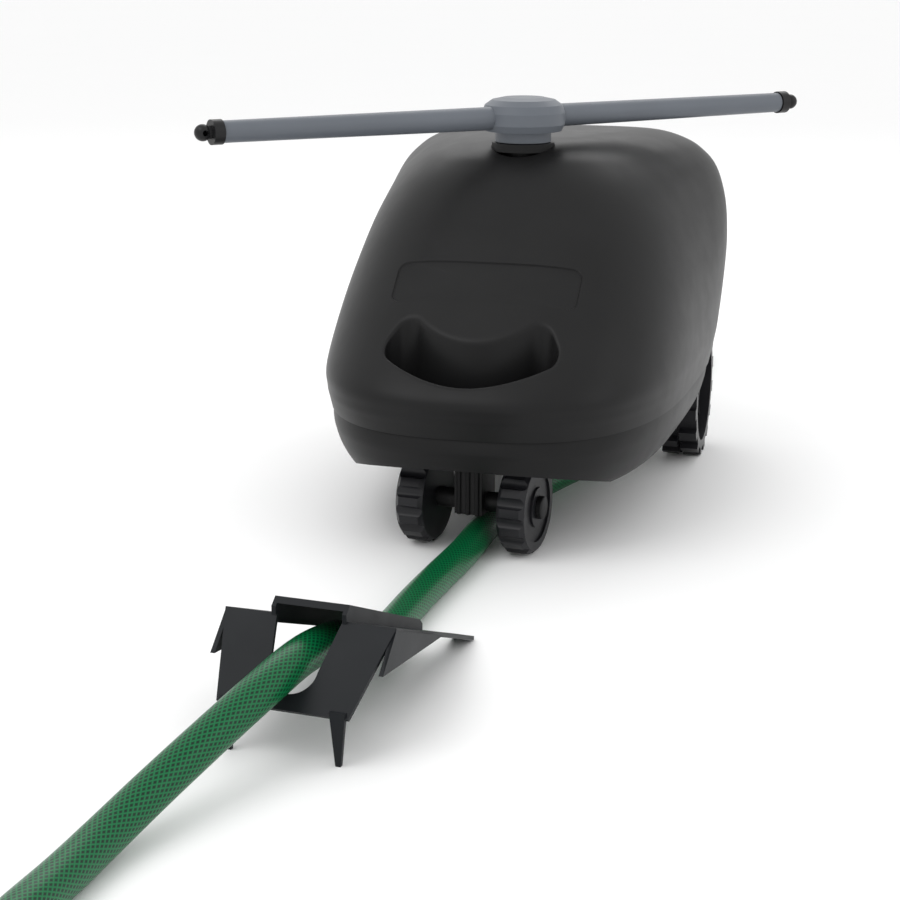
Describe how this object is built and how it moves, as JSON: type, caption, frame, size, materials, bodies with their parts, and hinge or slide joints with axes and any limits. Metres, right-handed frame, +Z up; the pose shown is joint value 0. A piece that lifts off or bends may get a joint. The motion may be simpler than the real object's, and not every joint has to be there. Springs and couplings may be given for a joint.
{
  "type": "travelling sprinkler",
  "caption": "Self-propelled lawn sprinkler that rolls along its garden hose, driven by a spinning two-nozzle arm through a worm drive, with a loose shut-off ramp.",
  "frame": {"origin": "on the ground, under the middle of the box round the sprinkler and its ramp, without the hose", "axes": "+Z up, -Y is the way that it travels, +X is to the right when seen from the front"},
  "size_m": [0.3674, 1.3769, 0.2984],
  "materials": {
    "cover_plastic": "satin moulded plastic",
    "base_plastic": "satin moulded plastic",
    "wheel_plastic": "matt moulded plastic",
    "inner_plastic": "plain moulded plastic",
    "seal_rubber": "soft rubber",
    "bright_steel": "zinc-plated steel",
    "gear_plastic": "acetal",
    "arm_grey": "satin grey plastic",
    "nozzle_black": "satin black plastic",
    "trip_red": "matt moulded plastic",
    "rod_brass": "turned brass",
    "ramp_plastic": "matt grey-black plastic",
    "coupling_black": "moulded plastic",
    "hose_green": "braided translucent vinyl"
  },
  "bodies": {
    "chassis": {"cover": "cover_plastic", "base_shell": "base_plastic", "tail_panel": "base_plastic", "chassis_plate": "base_plastic", "axle_bearings": "base_plastic", "shaft_bearings": "inner_plastic", "stem_housing": "base_plastic", "flow_tube": "inner_plastic", "valve_body": "inner_plastic", "inlet_spigot": "inner_plastic", "inlet_washer": "seal_rubber", "chassis_screws": "bright_steel", "trip_bracket": "base_plastic", "stem_seal": "seal_rubber", "shut_off_ramp": "ramp_plastic", "hose_nut": "coupling_black", "hose_tail": "hose_green", "hose_coil": "hose_green", "hose_run": "hose_green", "tap_connector": "coupling_black"},
    "spray_arm": {"arm_stem": "gear_plastic", "arm_hub": "arm_grey", "arm_left": "arm_grey", "arm_right": "arm_grey"},
    "left_nozzle": {"nozzle_left": "nozzle_black"},
    "right_nozzle": {"nozzle_right": "nozzle_black"},
    "drive_shaft_set": {"drive_shaft": "gear_plastic", "shaft_worm_wheel": "gear_plastic"},
    "rear_axle_set": {"rear_axle": "bright_steel", "rear_wheel_left": "wheel_plastic", "rear_wheel_right": "wheel_plastic", "wheel_nuts": "bright_steel", "axle_worm_wheel": "gear_plastic"},
    "steering": {"steering_yoke": "base_plastic", "front_axle": "bright_steel", "axle_caps": "base_plastic"},
    "left_front_wheel": {"front_wheel_left": "wheel_plastic"},
    "right_front_wheel": {"front_wheel_right": "wheel_plastic"},
    "trip": {"trip_lever": "trip_red"},
    "rod": {"push_rod": "rod_brass"}
  },
  "joints": [
    {"name": "arm_spin", "type": "hinge", "parent": "chassis", "child": "spray_arm", "pos_m": [0, 0.1492, 0.284], "axis": [0, 0, 1], "continuous": true},
    {"name": "left_nozzle_turn", "type": "hinge", "parent": "spray_arm", "child": "left_nozzle", "pos_m": [-0.16829, -0.01909, 0.28483], "axis": [-0.7071, -0.7071, 0.0035], "range_deg": [-60, 60]},
    {"name": "right_nozzle_turn", "type": "hinge", "parent": "spray_arm", "child": "right_nozzle", "pos_m": [0.16829, 0.31749, 0.28483], "axis": [0.7071, 0.7071, 0.0035], "range_deg": [-60, 60]},
    {"name": "shaft_spin", "type": "hinge", "parent": "chassis", "child": "drive_shaft_set", "pos_m": [0.034, 0.1492, 0.089], "axis": [0, 1, 0], "continuous": true},
    {"name": "axle_spin", "type": "hinge", "parent": "chassis", "child": "rear_axle_set", "pos_m": [0, 0.2882, 0.055], "axis": [1, 0, 0], "continuous": true},
    {"name": "steer", "type": "hinge", "parent": "chassis", "child": "steering", "pos_m": [0, 0.0082, 0.074], "axis": [0, 0, 1], "range_deg": [-9, 23]},
    {"name": "left_wheel_roll", "type": "hinge", "parent": "steering", "child": "left_front_wheel", "pos_m": [-0.03672, 0.01271, 0.033], "axis": [0.9925, -0.1219, 0], "continuous": true},
    {"name": "right_wheel_roll", "type": "hinge", "parent": "steering", "child": "right_front_wheel", "pos_m": [0.03672, 0.00369, 0.033], "axis": [0.9925, -0.1219, 0], "continuous": true},
    {"name": "trip_lift", "type": "hinge", "parent": "chassis", "child": "trip", "pos_m": [-0.034, 0.1682, 0.055], "axis": [1, 0, 0], "range_deg": [0, 9], "stiffness_Nm_per_rad": 0.4, "springref_deg": -20.05},
    {"name": "rod_lift", "type": "slide", "parent": "chassis", "child": "rod", "axis": [0, 0, 1], "range_m": [0, 0.0105]}
  ],
  "couplings": [
    {"joint": "shaft_spin", "follows": "arm_spin", "ratio": -0.041667},
    {"joint": "axle_spin", "follows": "arm_spin", "ratio": -0.0017361},
    {"joint": "rod_lift", "follows": "trip_lift", "m_per_rad": 0.066}
  ]
}
